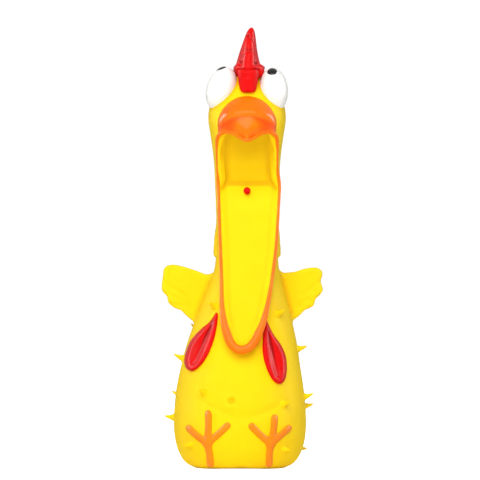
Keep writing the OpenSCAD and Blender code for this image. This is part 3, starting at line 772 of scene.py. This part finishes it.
def build_wattle(side):
    """A red leaf with a raised rim, a dished middle and a fold down it."""
    outline = spline(WATTLES[side], 5, closed=True)
    g = grid_round("wattle_" + side, 0.5, above=(3, 6, 3))
    skin = figure_distance(g)
    u, v = g.front()
    edge = outline_distance(outline, u, v)
    top, low = outline[np.argmax(outline[:, 1])], outline[np.argmin(outline[:, 1])]
    fold = [top + share * (low - top) for share in (0.16, 0.86)]
    height = 3.2 - 1.1 * smooth((-edge - 1.6) / 5) - 0.9 * np.exp(-(stroke_distance(fold, u, v) / 1.6) ** 2)
    d = both(skin - height[:, None, :], edge[:, None, :] + 0.35 * np.maximum(skin, 0), 2.1)
    d = g.even(np.maximum(d, -1.0 - skin))

    def painted_shade(points):
        """Painted shade down the fold, most at its upper end, and over the top of the leaf."""
        away = stroke_distance(fold, points[:, 0], points[:, 2])
        down = (top[1] - points[:, 2]) / (top[1] - low[1])
        return 0.9 * np.exp(-(away / 1.3) ** 2) * (1 - smooth(1.5 * down - 0.35)) + 0.5 * smooth(1 - 5 * down)

    leaf = moulded("wattle_leaf_" + side, g, d, RED, ("wattle_" + side,), painted_shade)
    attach(leaf, "torso")


# The comb's three peaks: height, middle and half width across, middle and half depth front to back
PEAKS = [
    [(266, 0.4, 5.0, -20.5, 5.4), (271, 0.6, 4.8, -20.4, 5.0), (276, 0.9, 4.5, -20.2, 4.4),
     (279.5, 1.2, 4.1, -20, 3.7), (282, 1.4, 3.0, -19.8, 2.7), (283.4, 1.4, 1.2, -19.7, 1.1)],
    [(266, 0.5, 10.2, -8, 9.6), (272, 0.6, 9.6, -8, 8.8), (275, 0.8, 8.0, -8, 8.2), (279, 1.0, 6.1, -8, 7.4),
     (283, 1.2, 4.8, -7.9, 6.4), (287, 1.3, 4.1, -7.8, 5.2), (290.3, 1.4, 3.0, -7.6, 3.6),
     (292.2, 1.5, 1.7, -7.4, 2.1), (293.2, 1.5, 0.7, -7.4, 0.9)],
    [(266, 0.6, 9.6, 3.6, 11), (272, 0.6, 9.4, 4.2, 10.8), (275, 0.7, 8.2, 4.8, 10.4),
     (279, 0.8, 7.1, 5.4, 9.6), (285, 1.2, 5.6, 6.2, 8), (292, 2.0, 4.0, 7, 5.4), (296, 2.5, 2.9, 7.4, 3.9),
     (298.2, 2.8, 1.9, 7.7, 2.5), (299.7, 3.1, 0.8, 7.9, 1)]]
PEAK_SQUARE = 1.75
# The half width of the bib on the forehead, at some heights
BIB = [(254, 4.8), (257.5, 5.6), (262, 6.5), (267, 7.1), (272, 7.2)]


def build_comb():
    """Three red peaks one behind the other on a flared base, and a bib down the forehead."""
    g = grid_round("comb", 0.55, (4, 4, 3), (4, 4, 2))
    over = -1.4 - figure_distance(g)
    g.x = g.x - HEAD_X
    d = None
    for rows in PEAKS:
        cx, rx, cy, ry = through(rows, g.z)
        corner = (np.abs(g.x - cx) / rx) ** PEAK_SQUARE + (np.abs(g.y - cy) / ry) ** PEAK_SQUARE
        sides = g.even((corner ** (1 / PEAK_SQUARE) - 1) * rx)
        peak = both(sides, np.maximum(g.z - rows[-1][0], rows[0][0] - g.z), 1)
        d = peak if d is None else creased(d, peak, 0.5, 1.3)
    flange = ellipsoid(g, (1.5, -4.5, 272), (10.8, 21, 3.2))
    for x, z, r in ((7.6, 269.6, 3.9), (-4.8, 271.0, 3.2)):
        flange = either(flange, ellipsoid(g, (x, -14.5, z), (r, 5.5, 4.6)), 2.6)
    d = either(d, flange, 1.2)
    half = through(BIB, g.z)
    facet = 2.4 * np.clip(2 * np.abs(g.x - 0.7) / half - 1, 0, 1)
    bib = rounded(2.0, np.abs(g.x - 0.7) - half, np.abs(g.y + 21.5) - 5.2 + facet, np.abs(g.z - 263.2) - 7.9)
    d = creased(d, bib, 0.5, 1.0)
    groove = np.hypot(np.maximum(np.abs(g.x - 0.6) - 6, 0), np.hypot(g.y + 27.0, g.z - 270.8)) - 1.2
    d = both(d, -groove, 0.9)
    g.x = g.x + HEAD_X
    d = g.even(np.maximum(d, over))

    def painted_shade(points):
        """Painted shade where each peak rises from behind the one in front, and beside the front tongue."""
        x, y, z = (points - (HEAD_X, 0, 0)).T
        aside = np.abs(x - 0.9)
        behind = np.exp(-((z - 284.6) / 2.2) ** 2 - (aside / 3.4) ** 4) * (y > -18)
        second = np.exp(-((z - 294.4) / 1.9) ** 2 - (aside / 3) ** 4) * (y > -6)
        flank = 0.7 * np.exp(-((aside - 5.2 + 0.2 * (z - 274)) / 0.9) ** 2) * smooth((283 - z) / 3)
        return 0.8 * np.maximum(behind, second) + flank * (z > 269) * (y > -19)

    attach(moulded("comb_red", g, d, RED, ("comb",), painted_shade), "head")


# The beak's lower edge, from its middle outward: distance from the middle, height
BEAK_EDGE = [(0, 222.4), (3.5, 223.8), (8.5, 227.0), (13.2, 228.4), (17, 227.8), (20.5, 225.4), (24, 223)]
# The hood: its half width, and the height of its widest place and how far it rises above that
BEAK_HALF, BEAK_MID, BEAK_RISE = 20.3, 231, 21.6
# The step from the hood to the bill: its height in the middle, and its drop 15 mm to the side
STEP_TOP, STEP_DROP = 239.4, 4.6


def build_beak():
    """A domed orange hood wrapped round the face, which steps back to a bill with a drooping tip."""
    g = grid_round("upper_beak", 0.55)
    face = figure_distance(g)
    g.x = g.x - HEAD_X
    up = np.maximum(g.z - BEAK_MID, 0)
    rho = np.sqrt((g.x / BEAK_HALF) ** 2 + (up / BEAK_RISE) ** 2)
    dome = np.clip(1 - rho**2, 0, 1)
    outline = g.even((rho - 1) * BEAK_HALF)
    hood = both(outline, face - 1.4 - 6.2 * dome**0.8, 1.8)
    hood = both(hood, g.even(STEP_TOP - STEP_DROP * (g.x / 15) ** 2 - g.z), 5.2)
    bulge = 2.4 * np.exp(-(g.x / 8.0) ** 2 - ((g.z - 229.5) / 6.5) ** 2)
    bill = both(outline + 0.6, face - 1.0 - 3.6 * dome**0.8 - bulge, 1.6)
    tip = cone(g, (0, -36.2, 229), (0, -38.6, 224.4), 3.2, 1.7)
    bill = either(bill, tip, 3.2)
    over = g.even(through(BEAK_EDGE, np.abs(g.x)) - g.z)
    d = both(either(hood, bill, 1.6), over, 1.0)
    hollow = both(ellipsoid(g, (0, -14, 226), (17.2, 21.0, 5.6)), g.z - BEAK_MID, 1)
    d = both(d, -hollow, 1)
    d = g.even(np.maximum(d, -1.5 - face))
    g.x = g.x + HEAD_X

    def painted_beak_shade(points):
        """Painted shade, redder down the sides, along the step and to both sides of the bill's middle."""
        aside = np.abs(points[:, 0] - HEAD_X) / 15
        below = STEP_TOP - STEP_DROP * aside**2 - points[:, 2]
        bill = 0.55 * smooth(below / 3) * (1 - np.exp(-(aside / 0.42) ** 2)) * (1 - smooth(1.8 * aside - 1.3))
        return 0.5 * smooth(1.2 * aside - 0.3) + bill + 0.35 * np.exp(-(below / 1.6 - 0.7) ** 2)

    hood = moulded("upper_beak_hood", g, d, ORANGE, ("upper_beak",), painted_beak_shade)
    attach(hood, "head")


# Feathers in a whole turn, and each row's bottom and top, its shift by a share of a feather, and its height
FEATHERS = 14.4
FEATHER_ROWS = [(142.0, 159, 0.0, 2.1), (150.0, 166, 0.5, 1.8)]


def build_hackles():
    """A cape of short feathers round the sides and back of the neck."""
    g = grid_round("hackle_collar", 0.7, (3, 5, 3))
    skin = figure_distance(g)
    turn = np.arctan2(g.y, g.x - lean(g.z))
    rows = None
    for bottom, top, shift, proud in FEATHER_ROWS:
        share = np.mod(turn * FEATHERS / (2 * math.pi) + shift, 1) - 0.5
        low = bottom + 14 * share**2
        rise = proud * smooth((g.z - low) / 2.2) * (1 - smooth((g.z - low - 3) / (top - bottom)))
        rise = rise * (1 - 0.3 * np.exp(-(share / 0.07) ** 2)) * smooth((g.y + 9) / 7)
        row = np.maximum(skin - rise + 0.25, low - g.z)
        rows = row if rows is None else np.minimum(rows, row)
    d = np.maximum(rows, -9.0 - g.y)
    d = g.even(np.maximum(d, -2.4 - skin))
    neck_bend(moulded("hackle_cape", g, d, YELLOW, ("hackle_collar",)))


def ring_faces(rings, sides, first=0):
    """The quads between rings of points, and the triangles that close both ends on two points more."""
    j = np.arange(sides)
    k = (j + 1) % sides
    last, hub = (rings - 1) * sides, rings * sides + 0 * j
    quads = [np.stack([i + j, i + k, i + sides + k, i + sides + j], axis=1) for i in range(0, last, sides)]
    ends = [np.stack([k, j, hub], axis=1), np.stack([last + j, last + k, hub + 1], axis=1)]
    return [first + np.concatenate(quads), first + np.concatenate(ends)]


def around(sides):
    """Angles all round."""
    return 2 * math.pi * np.arange(sides)[:, None] / sides


def tube(name, path, radii, finish_of, replaced, squash=(1, 1), sides=20):
    """A rounded bead along a smooth path, with domed ends."""
    centres = np.asarray(path, float)
    along = np.gradient(centres, axis=0)
    along /= norm(along, axis=1, keepdims=True)
    side = np.cross(along, (0, -1, 0.001))
    side /= norm(side, axis=1, keepdims=True)
    up = np.cross(side, along)
    turn = around(sides)
    rings = []
    cap = [math.radians(a) for a in (75, 50, 25)]
    stations = [(0, -math.sin(a), math.cos(a)) for a in cap]
    stations += [(i, 0, 1) for i in range(len(centres))]
    stations += [(len(centres) - 1, math.sin(a), math.cos(a)) for a in cap[::-1]]
    for i, ahead, size in stations:
        r = radii[i]
        across = squash[0] * np.cos(turn) * side[i] + squash[1] * np.sin(turn) * up[i]
        rings.append(centres[i] + ahead * r * along[i] + size * r * across)
    tips = [centres[0] - along[0] * radii[0], centres[-1] + along[-1] * radii[-1]]
    points = np.concatenate(rings + [tips])
    return make(name, points, ring_faces(len(rings), sides), finish_of, replaced)


def build_lips():
    """The orange bead round the mouth: a U on the lower jaw, an arch up the cheeks and along the beak."""
    rows = [r for r in LIPS if r[0] <= MOUTH_SPLIT]
    left = [(mouth_mid(z) - x, LIP_SUNK - y, z, r) for z, x, y, r in rows[::-1]]
    right = [(mouth_mid(z) + x, LIP_SUNK - y, z, r) for z, x, y, r in rows[1:]]
    lower = spline(left + right, 8)
    neck_bend(tube("lower_lip", lower[:, :3], lower[:, 3], ORANGE,
                   ("lip_left", "lip_right", "chin_lip"), (1, 0.75)))
    cheek = [(x, y, z, r) for z, x, y, r in LIPS if z >= MOUTH_SPLIT] + BEAK_BEAD
    left = [(mouth_mid(z) - x, LIP_SUNK - y, z, r) for x, y, z, r in cheek]
    right = [(mouth_mid(z) + x, LIP_SUNK - y, z, r) for x, y, z, r in cheek[::-1]]
    upper = spline(left + right, 8)
    head_bend(tube("upper_lip", upper[:, :3], upper[:, 3], ORANGE,
                   ("beak_rim_left", "beak_rim_right"), (1, 0.85)))


def build_eye(side):
    """A painted egg of an eye, set in the brow."""
    middle, axes = eye_frame(side)
    rows, cols = 40, 56
    a = np.linspace(-math.pi / 2, math.pi / 2, rows + 1)[1:-1, None, None]
    b = around(cols)
    ball = np.concatenate([np.cos(a) * np.cos(b), np.cos(a) * np.sin(b), np.sin(a) + 0 * b], axis=2)
    points = np.concatenate([ball.reshape(-1, 3), [[0, 0, -1], [0, 0, 1]]]) * EYE_R
    eye = make("eye_ball_" + side, middle + points @ axes.T, ring_faces(rows - 1, cols), WHITE,
               ("eye_" + side,))
    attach(eye, "head")


# The way from each eye's middle to its pupil, along the eye's own axes, and the pupil's radius
PUPILS = {"left": (-0.34, -0.09, 0.94), "right": (0.0, -0.4, 0.9)}
PUPIL_R = 3.9
PUPIL_RISE, PUPIL_SUNK = 0.45, 0.8


def build_pupil(side):
    """A domed black spot near the top of the eye."""
    middle, axes = eye_frame(side)
    way = np.array(PUPILS[side])
    radii = np.array(EYE_R)
    centre = way / norm(way / radii)
    out = centre / radii**2
    out /= norm(out)
    u = np.cross(out, (0, 1, 0))
    u /= norm(u)
    v = np.cross(out, u)
    rings, spokes, points = 8, 40, []
    t = around(spokes)
    for r in np.linspace(0, 1, rings + 1)[1:]:
        spot = centre + PUPIL_R * r * (np.cos(t) * u + np.sin(t) * v)
        spot /= norm(spot / radii, axis=1, keepdims=True)
        lift = PUPIL_RISE * math.sqrt(1 - r**4) - (0.25 if r == 1 else 0)
        points.append(spot + lift * out)
    points += [points[-1] - PUPIL_SUNK * out, [centre + PUPIL_RISE * out, centre - PUPIL_SUNK * out]]
    faces = [f[:, ::-1] for f in ring_faces(rings + 1, spokes)]
    spot = make("pupil_spot_" + side, middle + np.concatenate(points) @ axes.T, faces, BLACK,
                ("pupil_" + side,))
    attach(spot, "head")


def build_nub():
    """The red nub at the back of the lower jaw."""
    middle = np.mean(node_box("throat_button"), axis=0)
    g = grid_round("throat_button", 0.3)
    d = ellipsoid(g, middle + (0, 0.9, 0), (2.4, 2.6, 2.5))
    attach(moulded("throat_nub", g, d, RED, ("throat_button",)), "neck")


# Where the thorns stand: height, and the angle from +X towards +Y
SPIKES = [(74.6, 184), (49.4, 158), (34.4, 182), (94, 150), (52.2, 236), (16.6, 220), (44.5, 312),
          (13.9, 314), (110.2, 229), (105.4, 316), (81, 356), (48.6, 354), (41.8, 11), (13.4, 20),
          (66, 136), (88, 122), (40, 126), (22, 150), (96, 56), (66, 40), (34, 50), (20, 96), (50, 84)]


# A thorn: its distance out from the skin, and its radius there; then its tip
THORN = [(-0.9, 3.6), (-0.1, 3.0), (0.5, 2.4), (1.3, 1.95), (2.6, 1.5), (4.0, 1.08), (5.4, 0.72), (6.2, 0.42)]
THORN_TIP = 6.45


def skin_point(z, degrees):
    """A point of the plain figure."""
    half, front, back, square = through(FIGURE, z)
    a = math.radians(degrees)
    depth = front if math.sin(a) < 0 else back
    c, s = math.cos(a), math.sin(a)
    return np.array([lean(z) + half * math.copysign(abs(c) ** (2 / square), c),
                     depth * math.copysign(abs(s) ** (2 / square), s), z])


def build_spikes():
    """Short soft thorns over the body, each flaring into the skin at its root and turning up a little."""
    sides, points, faces = 16, [], []
    turn = around(sides)
    for k, (z, degrees) in enumerate(SPIKES):
        root = skin_point(z, degrees)
        beside = skin_point(z, degrees + 1) - skin_point(z, degrees - 1)
        above = skin_point(z + 1, degrees) - skin_point(z - 1, degrees)
        out = np.cross(beside, above)
        out /= norm(out)
        lift = np.array((0, 0, 0.16 + 0.05 * math.sin(2.4 * k))) / 5
        u = beside / norm(beside)
        v = np.cross(out, u)
        faces += ring_faces(len(THORN), sides, sum(len(p) for p in points))
        for h, r in THORN:
            middle = root + h * out + max(h, 0) ** 2 * lift
            points.append(middle + r * (np.cos(turn) * u + np.sin(turn) * v))
        points.append(np.array([root + THORN[0][0] * out, root + THORN_TIP * out + THORN_TIP**2 * lift]))
    thorns = make("spikes", np.concatenate(points), faces, YELLOW, ("body_spikes",))
    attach(thorns, "torso")


def finish_squeaker():
    """The squeaker's own CAD pieces keep their shapes and get their finishes."""
    for node, material in (("squeaker_cup", PLASTIC), ("squeaker_cap", PLASTIC), ("reed_block", PLASTIC),
                           ("reed_clamp", PLASTIC), ("squeaker_reed", BRASS)):
        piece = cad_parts[node]
        piece.data.materials.clear()
        piece.data.materials.append(material)


for side in ("left", "right"):
    build_foot(side)
    build_wattle(side)
    build_eye(side)
    build_pupil(side)
build_comb()
build_beak()
build_hackles()
build_lips()
build_nub()
build_spikes()
finish_squeaker()


# ---- stage, light and camera
def area_light(name, place, target, size, power):
    """A soft rectangular lamp that faces a target."""
    lamp = bpy.data.lights.new(name, "AREA")
    lamp.shape = "RECTANGLE"
    lamp.size, lamp.size_y = size
    lamp.energy = power
    o = bpy.data.objects.new(name, lamp)
    o.location = place
    x, y, z = (t - p for t, p in zip(target, place))
    o.rotation_euler = (math.atan2(math.hypot(x, y), -z), 0, math.atan2(x, -y) + math.pi)
    bpy.context.scene.collection.objects.link(o)
    return o


def build_floor():
    """A white table that runs into the white background."""
    bpy.ops.mesh.primitive_plane_add(size=6)
    floor = bpy.context.object
    floor.name = "floor"
    white = bpy.data.materials.new("floor_white")
    white.use_nodes = True
    tree = white.node_tree
    shader = tree.nodes["Principled BSDF"]
    shader.inputs["Base Color"].default_value = (0.93, 0.93, 0.93, 1)
    shader.inputs["Roughness"].default_value = 0.9
    shader.inputs["Emission Color"].default_value = (1, 1, 1, 1)
    straight = tree.nodes.new("ShaderNodeLightPath").outputs["Is Camera Ray"]
    glow = ranged(tree, straight, 0, 1, 0.12, 1.0, "LINEAR")
    tree.links.new(glow, shader.inputs["Emission Strength"])
    floor.data.materials.append(white)


def build_background():
    """White to the camera, and a soft fill light. The shiny paint mirrors a dim room in front."""
    world = bpy.data.worlds.new("studio")
    world.use_nodes = True
    tree = world.node_tree
    nodes, links = tree.nodes, tree.links
    back = nodes["Background"]
    seen = nodes.new("ShaderNodeLightPath")

    split = nodes.new("ShaderNodeSeparateXYZ")
    links.new(nodes.new("ShaderNodeTexCoord").outputs["Generated"], split.inputs[0])
    mirrored = ranged(tree, split.outputs["Y"], -0.7, 0.4, 0.2, 0.75, "LINEAR")
    lit = mixed(tree, seen.outputs["Is Glossy Ray"], 0.31, mirrored, "FLOAT")
    links.new(mixed(tree, seen.outputs["Is Camera Ray"], lit, 1.05, "FLOAT"), back.inputs["Strength"])
    back.inputs["Color"].default_value = (1, 1, 1, 1)
    bpy.context.scene.world = world


def build_lights():
    """A big soft light in front, and a strip at each side that shows only as a reflection."""
    area_light("key", (-0.2, -1.5, 1.3), (0, 0, 0.14), (1.5, 1.5), 37)
    for x in (-1.3, 1.3):
        strip = area_light("strip", (x, 0.15, 0.66), (0, 0, 0.22), (0.45, 0.9), 30)
        strip.visible_diffuse = False


def build_camera():
    """A long lens just above the table, 6 m in front."""
    distance, frame_height, middle, rise = 6.0, 0.3264, 0.155, math.radians(0.6)
    data = bpy.data.cameras.new("camera")
    data.sensor_width = 36
    data.lens = data.sensor_width * distance / frame_height
    data.clip_end = 20
    camera = bpy.data.objects.new("camera", data)
    camera.location = (0, -distance * math.cos(rise), middle + distance * math.sin(rise))
    camera.rotation_euler = (math.pi / 2 - rise, 0, 0)
    bpy.context.scene.collection.objects.link(camera)
    bpy.context.scene.camera = camera


build_floor()
build_background()
build_lights()
build_camera()
bpy.context.scene.view_settings.view_transform = "Standard"
bpy.context.view_layer.update()
